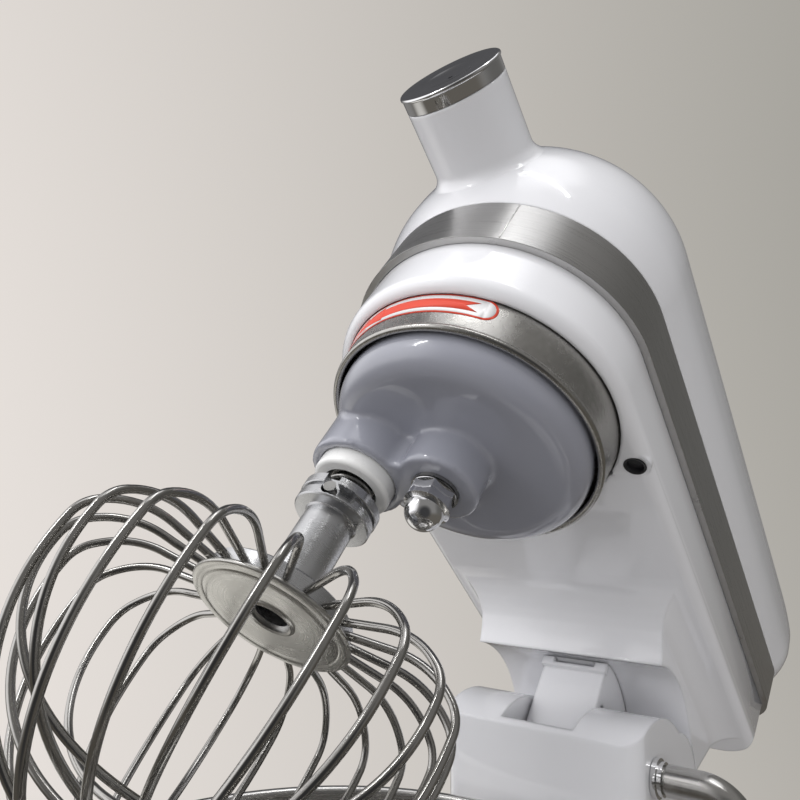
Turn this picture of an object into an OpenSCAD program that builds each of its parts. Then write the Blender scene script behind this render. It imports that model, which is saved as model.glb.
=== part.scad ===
// Tilt-head planetary kitchen mixer with a balloon whisk and a lift-out bowl.
// Row frame: +Z up, +X towards the nose, +Y to the mixer's own left, millimetres.
// Head parts are drawn with the head level, in a frame whose origin is the hinge
// axis, and in_head() then lifts them to the raised rest position.

/* [Stance] */
// Distance from the row origin back to the hinge axis
hinge_back = 63.5; // [60:0.5:66]
// Height of the hinge axis above the worktop
hinge_z = 206; // [198:1:214]
// Angle by which the head is raised at rest
head_open = 42.5; // [30:0.5:44]

/* [Head] */
// Hinge axis to planetary axis
reach = 196.7; // [190:1:204]
// Half width of the trim band
band_w = 70.6; // [70.4:0.2:72]
// Height of the trim band
band_h = 28; // [24:1:30]
// Sheet thickness of the trim band
band_t = 1.4; // [1:0.2:1.6]
// Height of the parting line above the hinge axis
part_z = 116.3; // [115:0.5:118]
// How much the upper shell swells beyond the band
shell_swell = 4.8; // [3:0.2:6]
// Height of the upper shell above the parting line
shell_h = 90; // [86:1:96]
// Wall thickness of the shell and of the lower housing
shell_t = 3; // [2.4:0.2:3.4]
// Half width of the lower housing's wall
wall_w = 67.2; // [66.8:0.2:67.4]
// Height of the lower housing's flat underside above the hinge axis
under_z = 60; // [58:0.5:61]
// Radius of the lower housing's bottom edge
edge_r = 6; // [4:0.5:7]
// Distance from the hinge axis back to the foot of the head's rear end
rear_x = 66; // [62:1:70]
// Lean of the head's rear end
rear_lean = 20; // [16:1:24]
// Radius of the rear end's upright corners
rear_r = 22; // [16:1:28]
// Radius that rounds the rear end into the top
crown_r = 46; // [36:1:56]

/* [Neck and column] */
// Half width of the neck and the column
col_w = 49; // [47:0.5:50]
// Hinge axis to the column's front face
col_front = 53.7; // [52:0.5:56]
// Hinge axis to the crest of the column's top
crest_x = 29; // [27:0.5:31]
// Height of that crest above the hinge axis
crest_z = 42.3; // [40:0.5:44]
// Radius of the crest
crest_r = 50.8; // [48:0.5:54]
// Radius of the hinge barrel at the back of the column
barrel_r = 30; // [28:0.5:31]
// Gap between the neck and the column when the head is down
neck_gap = 1; // [0.6:0.1:1.6]
// Front of the neck where it leaves the underside
neck_front = 90; // [84:1:94]
// Half width of the hinge lug
lug_w = 16.6; // [14:0.2:18]
// Front face of the hinge lug
lug_front = 41; // [38:0.5:43]
// Radius of the hinge pin
pin_r = 7; // [5:0.5:8]
// Wall of the column
col_t = 5; // [4:0.5:6]
// Half height at the column's foot behind the hinge
col_back = 46; // [42:1:50]

/* [Base] */
// Radius of the base plate round the bowl
base_r = 100; // [92:1:108]
// Half width of the base plate behind the column
base_w = 66; // [60:1:72]
// Rear edge of the base plate behind the hinge axis
base_back = 74; // [70:1:80]
// Height of the base plate's top above the worktop
base_h = 34; // [30:1:38]
// Height of the rubber feet that shows under the base
foot_h = 4; // [3:0.5:6]
// Radius of the rubber feet
foot_r = 13; // [10:0.5:15]
// Depth of the bowl's seat in the base plate
seat_d = 6; // [4:0.5:8]

/* [Bowl] */
// Outer radius of the bowl under its rim
bowl_r = 125.5; // [123:0.5:128]
// Height of the bowl from its bottom to its rim
bowl_h = 172; // [166:1:176]
// Sheet thickness of the bowl
bowl_t = 1.2; // [0.8:0.1:2]
// Radius of the bowl's rounded bottom edge
bowl_edge = 52; // [44:1:60]
// Radius of the rolled rim
rim_r = 2.6; // [2:0.1:3.4]
// Radius of the bowl's foot ring
bfoot_r = 55; // [50:1:60]
// Height of the bowl's foot ring
bfoot_h = 12; // [9:0.5:14]

/* [Planetary] */
// Gear module of the planet gear and its ring
gm = 2; // [2]
// Teeth of the fixed ring gear
ring_z = 52; // [52]
// Teeth of the planet gear
planet_z = 15; // [15]
// Direction of the beater axis round the planetary axis at rest
beat_a = -79.1; // [-85:0.1:-73]
// Outer radius of the drip ring's rolled bead
drip_r = 60; // [59.6:0.1:60.4]
// Height of the bead's lower edge above the hinge axis
drip_z = 41.2; // [40:0.2:43]
// Radius of the planetary housing
plan_r = 55.6; // [54:0.2:56]
// Height of the planetary housing's face above the hinge axis
face_z = 30.5; // [28:0.5:32]
// Height of the two bosses' lower ends above the hinge axis
boss_z = 14.5; // [13:0.5:16]
// Radius of the boss on the planetary axis
boss_c = 17.5; // [16:0.5:19]
// Radius of the boss on the beater axis
boss_b = 21.5; // [20:0.5:23]

/* [Beater and whisk] */
// Radius of the beater shaft
shaft_r = 6.5; // [5.5:0.1:7]
// Radius of the whisk hub's tube
tube_r = 10.7; // [10:0.1:11.5]
// Radius of the whisk hub's collar
collar_r = 17; // [16:0.2:18.5]
// Height of the collar's top above the hinge axis
collar_z = 2; // [1:0.5:4]
// Length of the collar
collar_h = 11; // [9:0.5:13]
// Depth of the whisk plate's rim under the hinge axis
dish_z = 55; // [53:0.5:57]
// Radius of the whisk plate
dish_r = 32.6; // [31:0.2:34]
// Diameter of the whisk wires
wire_d = 3; // [2.4:0.1:3.2]
// Number of wire ends round the whisk plate
wire_n = 22; // [18:2:24]
// Greatest radius of the wire balloon
whisk_r = 80.4; // [76:0.1:80.6]
// Depth of the balloon's tip under the hinge axis
whisk_z = 156; // [150:1:158]
// How far the whisk lifts against its spring
push = 4; // [3:0.5:5]

/* [Hub] */
// Height of the attachment hub's axis above the hinge axis
hub_z = 154.8; // [152:0.5:157]
// Radius of the attachment hub
hub_r = 23.4; // [22:0.2:25]
// Distance from the planetary axis to the end of the hub
hub_x = 108.3; // [104:0.5:112]
// Height of the chrome cap's skirt
cap_h = 7.5; // [6:0.5:9]
// Side of the square drive socket in the hub
sq = 8; // [7:0.5:9]

/* [Lever and controls] */
// Distance from the hinge axis forward to the lock lever's axis
lev_x = 33.5; // [32:0.5:35]
// Height of the lock lever's axis above the hinge axis
lev_z = 19.5; // [18:0.5:21]
// Radius of the lever's bent tube
lev_r = 6.8; // [6:0.2:7.2]
// Reach of the tube out from the column before its bend
lev_out = 20; // [18:1:24]
// Length of the lever's hand grip
lev_len = 62; // [50:1:70]
// Radius of the lever's bend
lev_bend = 16; // [14:1:20]
// Radius of the speed knob
knob_r = 21; // [18:0.5:24]
// Height of the speed knob's axis above the worktop
knob_z = 128; // [120:1:136]

/* [Fits] */
// Running clearance on radius
run = 0.05; // [0.03:0.01:0.08]
// Clearance between pieces that only lie beside each other
gap = 0.3; // [0.25:0.05:0.4]

/* [Hidden] */

ecc = gm * (ring_z - planet_z) / 2;
bx = reach + ecc * cos(beat_a);
by = ecc * sin(beat_a);
crest_c = crest_z - crest_r;
base_cx = reach;
seat_z = base_h - seat_d;
rim_z = seat_z + bfoot_h + bowl_h;
shell_w = band_w + shell_swell;
swell_h = 24;
main_z = 60;      // teeth of the main wheel
ipin_z = 14;      // teeth of the idler pinion
iwh_z = 50;       // teeth of the idler wheel
mpin_z = 12;      // teeth of the motor pinion
idler_x = reach - gm * (main_z + ipin_z) / 2;
motor_x = idler_x - gm * (iwh_z + mpin_z) / 2;
plate_z = 86;
throat_r = 63.9;   // outside of the collar round the planetary opening
wheel_z = plate_z + 10;
wire_k = 6;        // sides of a wire
screw_x = reach - 34;
screw_y = wall_w - 6.7;
white = "#f2f2f4";
lilac = "#c9cad6";
steel = "#b9b8b4";
alu = "#c6c8cc";
dark = "#3a3b3d";

// Lifts a piece drawn in the level head frame into the raised rest pose
module in_head() {
    translate([-hinge_back, 0, hinge_z]) rotate([0, -head_open, 0]) children();
}
// Places a piece given from the hinge axis of the standing column
module at_hinge() {
    translate([-hinge_back, 0, hinge_z]) children();
}
// Bar along Y between two ends
module ybar(r, y0, y1) {
    translate([0, y1, 0]) rotate([90, 0, 0]) cylinder(h = y1 - y0, r = r, $fn = 64);
}
// Bar along X between two ends
module xbar(r, x0, x1) {
    translate([x0, 0, 0]) rotate([0, 90, 0]) cylinder(h = x1 - x0, r = r, $fn = 64);
}
// Rounded rectangle from x0 to x1, w wide on both sides of the axis
module rrect(x0, x1, w, r) {
    union() {
        translate([x0 + r, -w]) square([x1 - x0 - 2 * r, 2 * w]);
        translate([x0, -w + r]) square([x1 - x0, 2 * w - 2 * r]);
        for (x = [x0 + r, x1 - r], y = [-w + r, w - r]) translate([x, y]) circle(r = r, $fn = 48);
    }
}
// Points of a circular arc
function arc(cx, cy, r, a0, a1, n) = [for (i = [0:n]) let(a = a0 + (a1 - a0) * i / n)
    [cx + r * cos(a), cy + r * sin(a)]];

// Involute of a base circle, by roll angle in degrees
function inv_pt(rb, t) = [rb * (cos(t) + t * PI / 180 * sin(t)), rb * (sin(t) - t * PI / 180 * cos(t))];
function rot2(p, a) = [p[0] * cos(a) - p[1] * sin(a), p[0] * sin(a) + p[1] * cos(a)];
// Outline of a spur gear: z teeth, addendum ad, dedendum de, play pl taken off each tooth
function gear_pts(z, m, ad, de, pl) =
    let(rp = m * z / 2, rb = rp * cos(20), ra = rp + ad, rf = rp - de,
        tp = acos(rb / rp), invp = tan(tp) * 180 / PI - tp,
        half = 90 / z - pl / 2 / rp * 180 / PI + invp,
        r0 = max(rb, rf), n = 5,
        fl = [for (i = [0:n]) let(r = r0 + (ra - r0) * i / n, t = tan(acos(rb / r)) * 180 / PI) inv_pt(rb, t)])
    [for (k = [0:z - 1]) let(c = 360 / z * k) each concat(
        [rot2([rf, 0], c - half)],
        [for (i = [0:n]) rot2(fl[i], c - half)],
        [for (i = [n:-1:0]) rot2([fl[i][0], -fl[i][1]], c + half)],
        [rot2([rf, 0], c + half)])];
module spur(z, h, bore) {
    linear_extrude(h) difference() {
        polygon(gear_pts(z, gm, gm * 0.95, gm * 1.2, 0.22));
        circle(r = bore, $fn = 48);
    }
}

// ---- head forms -------------------------------------------------------
// Half section of the upper shell, d inside its outer face
function shell_half(d) = concat(
    [[0, part_z], [band_w - d, part_z]],
    [for (i = [1:3]) let(u = i / 4) [band_w - d + shell_swell * sin(90 * u), part_z + swell_h * u]],
    [for (i = [0:15]) let(a = 90 * i / 16) [(shell_w - d) * pow(cos(a), 0.78),
        part_z + swell_h + (shell_h - swell_h - d) * pow(sin(a), 0.78)]],
    [[0, part_z + shell_h - d]]);
// Half section of the lower housing, d inside its outer face
function low_half(d) = concat(
    [[0, under_z + d]],
    arc(wall_w - edge_r, under_z + edge_r, edge_r - d, -90, 0, 8),
    [[wall_w - d, part_z], [0, part_z]]);
// Sweeps a half section round the nose and straight back to x0
module nose_sweep(x0) {
    translate([reach, 0, 0]) rotate([0, 0, -90]) rotate_extrude(angle = 180, $fn = 120) children();
    translate([x0, 0, 0]) rotate([90, 0, 90]) linear_extrude(reach - x0) union() {
        children();
        mirror([1, 0]) children();
    }
}
// Space ahead of the leaning rear end, d inside its outer face
module rear_limit(d, w) {
    translate([-rear_x, 0, under_z]) rotate([0, -rear_lean, 0]) translate([d, 0, -120])
        linear_extrude(420) difference() {
            translate([0, -w]) square([600, 2 * w]);
            for (s = [-1, 1]) translate([rear_r, s * (w - rear_r)]) difference() {
                translate([-rear_r - 1, s > 0 ? 0 : -rear_r - 1]) square([rear_r + 1, rear_r + 1]);
                circle(r = rear_r, $fn = 72);
            }
        }
}
// Side view that rounds the top of the rear end, d inside its outer face
module rear_crown(d) {
    ct = part_z + shell_h - crown_r;
    cx = -rear_x - (ct - under_z + crown_r * sin(rear_lean)) * tan(rear_lean) + crown_r * cos(rear_lean);
    translate([0, 120, 0]) rotate([90, 0, 0]) linear_extrude(240)
        polygon(concat([[-rear_x + 60 * tan(rear_lean) + d, under_z - 60]],
            arc(cx, ct, crown_r - d, 180 + rear_lean, 90, 16),
            [[400, part_z + shell_h - d], [400, under_z - 60]]));
}
module shell_solid(d) {
    intersection() {
        nose_sweep(-160) polygon(shell_half(d));
        rear_limit(d, shell_w + 1);
        rear_crown(d);
    }
}
module upper_shell() color(white) in_head() difference() {
    union() {
        shell_solid(0);
        // attachment hub, cast with the shell
        translate([0, 0, hub_z]) xbar(hub_r, reach + 30, reach + hub_x);
        // fillet round the foot of the hub
        translate([reach + shell_w - 8, 0, hub_z]) rotate([0, 90, 0]) rotate_extrude($fn = 72)
            difference() {
                square([hub_r + 4, 10]);
                translate([hub_r + 4, 10]) circle(r = 4, $fn = 32);
                translate([hub_r, 10]) square([10, 10]);
            }
    }
    difference() {
        shell_solid(shell_t);
        // boss that carries the hub liner inside the nose
        translate([0, 0, hub_z]) xbar(hub_r + 2, reach + 34, reach + hub_x);
    }
    translate([0, 0, hub_z]) xbar(hub_r - 5, reach + 20, reach + hub_x + 1);
    translate([-200, -100, part_z - 1]) cube([600, 200, 1 + gap]);
}

module low_solid(d) {
    intersection() {
        nose_sweep(-160) polygon(low_half(d));
        rear_limit(d + 2, wall_w + 1);
    }
}
// Neck between the underside and the column, kept to the hinge barrel
module neck_form() {
    intersection() {
        translate([0, 100, 0]) rotate([90, 0, 0]) linear_extrude(200) difference() {
            polygon(concat([[-48, under_z + 8], [neck_front + 8, under_z + 8], [neck_front + 8, under_z]],
                [for (i = [0:10]) let(a = 90 * i / 10) [neck_front - (neck_front - col_front) * sin(a),
                    under_z - (under_z - 20) * (1 - cos(a))]],
                [[col_front, 10], [-30, 10], [-40, 30]]));
            translate([crest_x, crest_c]) circle(r = crest_r + neck_gap, $fn = 96);
            circle(r = barrel_r + neck_gap, $fn = 96);
            rotate(128) translate([-10, 0]) square([110, 60]);
        }
        translate([-60, 0, 0]) rotate([90, 0, 90]) linear_extrude(200) union() {
            translate([-col_w, 0]) square([2 * col_w, under_z + 8]);
            for (s = [0, 1]) mirror([s, 0]) difference() {
                translate([col_w - 0.5, under_z - 13]) square([13.5, 14]);
                translate([col_w + 13, under_z - 13]) circle(r = 13, $fn = 64);
            }
        }
        linear_extrude(under_z + 8) union() {
            rrect(-60, col_front + 0.01, col_w, 7);
            translate([-60, -col_w - 13]) square([neck_front + 80, 2 * col_w + 26]);
        }
    }
}
module lower_housing() color(white) in_head() difference() {
    union() {
        difference() {
            low_solid(0);
            low_solid(shell_t);
        }
        neck_form();
        // collar round the planetary opening
        translate([reach, 0, 72]) cylinder(h = plate_z - 72, r = throat_r, $fn = 120);
        // inner flange that backs the trim band
        intersection() {
            translate([0, 0, part_z - 14]) linear_extrude(14) difference() {
                union() {
                    translate([reach, 0]) circle(r = band_w - band_t, $fn = 160);
                    translate([-160, -(band_w - band_t)]) square([reach + 160, 2 * (band_w - band_t)]);
                }
                union() {
                    translate([reach, 0]) circle(r = wall_w - 1, $fn = 160);
                    translate([-160, -(wall_w - 1)]) square([reach + 160, 2 * (wall_w - 1)]);
                }
            }
            rear_limit(band_t, band_w - band_t);
        }
        // landing for the gearbox plate
        intersection() {
            low_solid(1);
            for (s = [0, 1]) mirror([0, s, 0]) translate([40, 52, plate_z - 12]) cube([90, 20, 12]);
        }
        // bosses for the housing screws
        for (s = [-1, 1]) translate([screw_x, s * screw_y, under_z + 0.5])
            cylinder(h = plate_z - under_z - 0.5, r = 6.4, $fn = 48);
    }
    // round opening under the nose, with the recess for the drip ring
    translate([reach, 0, under_z - 10]) cylinder(h = 200, r = drip_r - 1.3, $fn = 120);
    translate([reach, 0, under_z - 10]) cylinder(h = 82 - under_z, r = 62, $fn = 120);
    // hinge lug seat
    translate([-lug_front + 2, -lug_w - gap, 0]) cube([2 * lug_front - 2 + gap, 2 * lug_w + 2 * gap, under_z + 4]);
    // counterbored screw holes
    for (s = [-1, 1]) translate([screw_x, s * screw_y, under_z - 1]) {
        cylinder(h = 20, r = 2.2, $fn = 32);
        cylinder(h = 5, r = 4.2, $fn = 32);
    }
    // notch beside the drip ring
    translate([reach - 37, 48, under_z - 1]) cylinder(h = 6, r = 2.2, $fn = 24);
}
// Plan of the head at a half width of w, filled
module head_plan(w) {
    translate([reach, 0]) circle(r = w, $fn = 160);
    translate([-160, -w]) square([reach + 160, 2 * w]);
}
// Stainless band with a lip folded in along its lower edge
module trim_band() color(steel) in_head() {
    low = part_z - band_h;
    inner = band_w - band_t + 0.02;
    difference() {
        intersection() {
            translate([0, 0, low]) linear_extrude(band_h) head_plan(band_w);
            rear_limit(0, band_w);
        }
        intersection() {
            translate([0, 0, low + 1.2]) linear_extrude(band_h) head_plan(inner);
            rear_limit(band_w - inner, inner);
        }
        intersection() {
            translate([0, 0, low - 1]) linear_extrude(3) head_plan(wall_w + gap);
            rear_limit(2 - gap, wall_w + 1);
        }
    }
}
// Lug that carries the head on the hinge pin, with its latch lip
module hinge_lug() color(white) in_head() difference() {
    union() {
        translate([0, lug_w, 0]) rotate([90, 0, 0]) linear_extrude(2 * lug_w) union() {
            circle(r = 17, $fn = 72);
            polygon([[-lug_front + 4, under_z + 3], [lug_front, under_z + 3], [lug_front, -6],
                [lug_front - 6, -12], [0, -17], [-17, 0]]);
        }
        // lip at the mouth of the neck
        translate([lug_front - 1, -lug_w - 0.9, crest_z - 6.6]) cube([3.2, 2 * lug_w + 1.8, 5]);
    }
    ybar(pin_r + run, -60, 60);
    // slot for the latch
    translate([lug_front - 6, -11, crest_z - 4.4]) cube([10, 22, 2.6]);
    // hole that the lock bolt drops into
    translate([lev_x, 0, lev_z]) ybar(3.2, lug_w - 7, lug_w + 1);
}
module drip_ring() color(steel) in_head() translate([reach, 0, 0]) rotate_extrude($fn = 144) union() {
    translate([drip_r - 2.7, drip_z + 1.5]) square([1.2, 82 - drip_z - 1.5]);
    translate([drip_r - 1.5, drip_z + 1.5]) circle(r = 1.5, $fn = 32);
}
module hub_liner() color(steel) in_head() translate([reach, 0, hub_z]) difference() {
    xbar(hub_r - 5 - run, 28, hub_x);
    xbar(11, 27, hub_x + 1);
    xbar(hub_r - 8, hub_x - 22, hub_x + 1);
}
module gearbox_plate() color(alu) in_head() difference() {
    union() {
        translate([reach, 0, plate_z]) cylinder(h = 8, r = 62, $fn = 96);
        translate([36, -58, plate_z]) cube([reach - 36, 116, 8]);
        translate([reach, 0, plate_z - 6]) cylinder(h = 20 - 7, r = 20, $fn = 64);
        // boss for the idler's shaft, clear of the housing's collar
        translate([idler_x, 0, plate_z - 6])
            cylinder(h = 14, r = reach - throat_r - gap - idler_x, $fn = 48);
    }
    translate([reach, 0, plate_z - 20]) cylinder(h = 40, r = 15 + run, $fn = 64);
    translate([idler_x, 0, plate_z - 20]) cylinder(h = 40, r = 5 + run, $fn = 48);
}
module motor_stator() color(dark) in_head() {
    translate([motor_x, 0, 0]) difference() {
        union() {
            translate([0, 0, wheel_z + 26]) cylinder(h = 56, r = 36, $fn = 96);
            for (s = [-1, 1]) translate([0, s * 42, plate_z + 8]) cylinder(h = wheel_z - plate_z + 24, r = 4, $fn = 24);
            for (s = [-1, 1]) translate([-5, s > 0 ? 30 : -46, wheel_z + 26]) cube([10, 16, 6]);
        }
        translate([0, 0, wheel_z + 30]) cylinder(h = 48, r = 30, $fn = 72);
        translate([0, 0, wheel_z]) cylinder(h = 100, r = 5 + run, $fn = 48);
    }
}
module ring_gear() color(steel) in_head() translate([reach, 0, 70]) difference() {
    cylinder(h = plate_z - 70, r = drip_r - 3, $fn = 120);
    translate([0, 0, -1]) linear_extrude(40) rotate(beat_a)
        polygon(gear_pts(ring_z, gm, gm * 1.2, gm * 0.95, -0.22));
}
module main_bearing() color(steel) in_head() translate([reach, 0, plate_z - 6]) difference() {
    cylinder(h = 13, r = 15, $fn = 64);
    translate([0, 0, -1]) cylinder(h = 20, r = 8 + run, $fn = 48);
}
module housing_screws() color(dark) in_head() for (s = [-1, 1])
    translate([screw_x, s * screw_y, under_z + 2]) {
        cylinder(h = 2, r = 3.8, $fn = 32);
        cylinder(h = 14, r = 2.1, $fn = 24);
    }

// ---- drive -------------------------------------------------------------
module rotor() color("#8d6b45") in_head() translate([motor_x, 0, 0]) {
    translate([0, 0, wheel_z + 8]) cylinder(h = 92, r = 5, $fn = 48);
    translate([0, 0, wheel_z + 34]) cylinder(h = 40, r = 26, $fn = 72);
}
module motor_fan() color(dark) in_head() translate([motor_x, 0, wheel_z + 86]) difference() {
    union() {
        cylinder(h = 10, r = 9, $fn = 48);
        cylinder(h = 1.5, r = 30, $fn = 64);
        for (i = [0:8]) rotate(40 * i) translate([8, -0.8, 0]) cube([21, 1.6, 9]);
    }
    translate([0, 0, -1]) cylinder(h = 30, r = 5, $fn = 48);
}
module motor_pinion() color(steel) in_head() translate([motor_x, 0, wheel_z + 12])
    rotate(180 / mpin_z) spur(mpin_z, 9, 5);
module idler_gears() color(steel) in_head() translate([idler_x, 0, 0]) {
    translate([0, 0, wheel_z]) rotate(180 / ipin_z) spur(ipin_z, 12, 5 + run);
    translate([0, 0, wheel_z + 12]) spur(iwh_z, 8, 5 + run);
}
module idler_shaft() color(steel) in_head() translate([idler_x, 0, plate_z - 5])
    cylinder(h = 36, r = 5, $fn = 48);
module hub_spindle() color(steel) in_head() translate([reach, 0, hub_z]) difference() {
    union() {
        xbar(11 - run, 26, hub_x - 24);
        rotate([0, 90, 0]) translate([0, 0, 14.5]) cylinder(h = 12, r1 = 13.6, r2 = 20, $fn = 64);
    }
    translate([hub_x - 50, -sq / 2, -sq / 2]) cube([60, sq, sq]);
    for (i = [0:15]) rotate([22.5 * i, 0, 0]) translate([14, -1, 15]) rotate([0, -28, 0]) cube([16, 2, 8]);
}

// ---- planetary ---------------------------------------------------------
function plan_half() = concat(
    [[0, face_z + 1.2], [30, face_z + 0.9], [44, face_z]],
    arc(plan_r - 11, face_z + 11, 11, -90, 0, 9),
    [[plan_r, 66], [0, 66]]);
module planetary_housing() color(lilac) in_head() difference() {
    union() {
        translate([reach, 0, 0]) rotate_extrude($fn = 144) polygon(plan_half());
        translate([reach, 0, boss_z]) cylinder(h = 30, r = boss_c, $fn = 72);
        translate([bx, by, boss_z]) cylinder(h = drip_z - 1.5 - boss_z, r = boss_b, $fn = 72);
        // web that merges the two bosses
        translate([reach, 0, boss_z]) rotate(beat_a) translate([8, -11, 0]) cube([20, 22, 20]);
    }
    // hollow above the face
    difference() {
        translate([reach, 0, face_z + 7]) cylinder(h = 40, r = plan_r - 5, $fn = 120);
        translate([reach, 0, 0]) cylinder(h = 66, r = 17, $fn = 64);
        translate([bx, by, 0]) cylinder(h = 60, r = 21, $fn = 64);
    }
    translate([reach, 0, -10]) cylinder(h = 100, r = 8, $fn = 48);
    translate([bx, by, face_z - 4]) cylinder(h = 80, r = 13, $fn = 48);
    translate([bx, by, -10]) cylinder(h = 80, r = 12, $fn = 48);
    translate([bx, by, -10]) cylinder(h = 10 + boss_z + 5, r = 17.2, $fn = 48);
}
module main_shaft() color(steel) in_head() translate([reach, 0, 0]) {
    translate([0, 0, boss_z - 9]) cylinder(h = 10, r = 5, $fn = 48);
    translate([0, 0, boss_z]) cylinder(h = 122.5 - boss_z, r = 8, $fn = 48);
    difference() {
        translate([0, 0, hub_z - 26.5]) cylinder(h = 12, r1 = 20, r2 = 13.6, $fn = 64);
        for (i = [0:15]) rotate(11.25 + 22.5 * i) translate([13, -1, hub_z - 12.6])
            rotate([0, 28, 0]) cube([16, 2, 8]);
    }
    translate([0, 0, 122]) cylinder(h = hub_z - 26 - 122, r = 8, $fn = 48);
}
module main_wheel() color(steel) in_head() translate([reach, 0, wheel_z]) difference() {
    spur(main_z, 10, 8);
    for (i = [0:5]) rotate(60 * i) translate([34, 0, -1]) cylinder(h = 20, r = 12, $fn = 48);
}
module nut_washer() color(steel) in_head() translate([reach, 0, boss_z - 1.5]) difference() {
    cylinder(h = 1.5, r = 10, $fn = 48);
    translate([0, 0, -1]) cylinder(h = 4, r = 5.2, $fn = 48);
}
module acorn_nut() color("silver") in_head() translate([reach, 0, boss_z - 1.5]) difference() {
    union() {
        translate([0, 0, -8]) cylinder(h = 8, r = 9.8, $fn = 6);
        translate([0, 0, -10]) cylinder(h = 4, r = 8, $fn = 64);
        translate([0, 0, -10]) sphere(r = 8, $fn = 64);
    }
    translate([0, 0, -8]) cylinder(h = 9, r = 5, $fn = 48);
}
module beater_bearings() color(steel) in_head() for (z = [face_z + 4, 58]) translate([bx, by, z]) difference() {
    cylinder(h = 8, r = 13, $fn = 48);
    translate([0, 0, -1]) cylinder(h = 20, r = shaft_r + run, $fn = 48);
}
module seal_ring() color(white) in_head() translate([bx, by, boss_z - 6.5]) rotate_extrude($fn = 72)
    difference() {
        union() {
            translate([12, 2]) square([5.15, 8.5]);
            translate([12, 0.01]) square([3.2, 4]);
            translate([15.2, 2]) circle(r = 2, $fn = 32);
        }
        translate([0, 6.5]) square([12.01, 8]);
    }

// ---- beater and whisk --------------------------------------------------
module at_beater() {
    in_head() translate([bx, by, 0]) children();
}
module beater_shaft() color(steel) at_beater() difference() {
    union() {
        translate([0, 0, collar_z - 34]) cylinder(h = 36, r = shaft_r, $fn = 48);
        translate([0, 0, collar_z]) cylinder(h = 84 - collar_z, r = shaft_r, $fn = 48);
        translate([0, 0, 20]) cylinder(h = 4, r = 9, $fn = 48);
    }
    translate([0, 0, collar_z - collar_h + 5]) rotate([0, 0, 22]) xbar(2.5, -20, 20);
}
module cross_pin() color(steel) at_beater() translate([0, 0, collar_z - collar_h + 5])
    rotate([0, 0, 22]) xbar(2.5, -16, 16);
module planet_gear() color(steel) at_beater() translate([0, 0, 70.5]) rotate(beat_a)
    spur(planet_z, 12, shaft_r);
module lock_spring() color(steel) at_beater() {
    r = 9.4;
    w = 0.9;
    h = 20 - collar_z - 0.4;
    pitch = h / 4;
    translate([0, 0, collar_z + 0.2]) linear_extrude(height = h, twist = -1440, slices = 56)
        polygon([for (t = [0:60:300]) rot2([r + w * cos(t), 0], 360 * w * sin(t) / pitch)]);
}
module whisk_hub() color(alu) at_beater() difference() {
    union() {
        translate([0, 0, collar_z - collar_h]) cylinder(h = collar_h, r = collar_r, $fn = 72);
        translate([0, 0, -dish_z + 6]) cylinder(h = collar_z + dish_z - 6, r = tube_r, $fn = 72);
        translate([0, 0, -dish_z + 1]) cylinder(h = 7, r = dish_r - 3, $fn = 96);
    }
    // bore for the beater shaft
    translate([0, 0, -dish_z]) cylinder(h = collar_z + dish_z + 1, r = shaft_r + run, $fn = 48);
    // bayonet slots: straight in, then across to the resting notch
    for (s = [0, 180]) rotate([0, 0, 22 + s]) {
        translate([0, -3, collar_z - collar_h + 5 - push - 0]) cube([30, 6, push + 0]);
        translate([0, 0, collar_z - collar_h + 5]) xbar(3, 0, 30);
        translate([0, 0, collar_z - collar_h + 5 - push]) xbar(3, 0, 30);
        rotate([0, 0, 40]) translate([0, -3, collar_z - collar_h + 5 - push]) cube([30, 6, 30]);
        for (i = [0:4]) rotate([0, 0, 8 * i]) translate([0, 0, collar_z - collar_h + 5 - push]) xbar(3, 0, 30);
    }
    // holes for the wire ends
    for (i = [0:wire_n - 1]) rotate([0, 0, 360 / wire_n * (i + 0.5)])
        translate([0, 0, -dish_z + 4.6]) xbar(wire_d / 2 + 0.02, dish_r - 13, dish_r);
}
module whisk_dish() color(steel) at_beater() translate([0, 0, -dish_z]) rotate_extrude($fn = 96) difference() {
    union() {
        polygon([[shaft_r + 1.5, 0], [dish_r - 6, -1.0], [dish_r - 1, -0.6], [dish_r - 1, 1], [shaft_r + 1.5, 1]]);
        translate([dish_r - 1, 0.2]) circle(r = 0.85, $fn = 24);
    }
    translate([-1, -5]) square([shaft_r + 2.6, 20]);
}
// Centre line of half a wire loop: out of the hub, over the shoulder, round the
// balloon to its tip, as [radius, height] points
function wire_line(tip) =
    let(rb = 8, ra = 9.5, sh = 45, hz = -dish_z + 4.6, x0 = dish_r - 2.6,
        xs = x0 + rb + ra + ra * sin(sh), zs = hz + rb + ra * cos(sh),
        wr = whisk_r - wire_d / 2, zc = -86,
        rc = (zs - zc - (wr - xs)) / (sin(sh) - 1 + cos(sh)),
        b = zc - tip, rd = 0.8 * b,
        re = (pow(wr - rd, 2) + b * b - rd * rd) / (2 * (b - rd)),
        ae = atan2(re - b, wr - rd))
    concat([[x0 - 9, hz]], arc(x0, hz + rb, rb, -90, 0, 3),
        arc(x0 + rb + ra, hz + rb, ra, 160, 90 - sh, 4),
        arc(wr - rc, zc, rc, 90 - sh, 0, 3),
        arc(wr - rd, zc, rd, -12, -ae, 3),
        arc(0, tip + re, re, -ae - 8, -90, 3));
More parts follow.
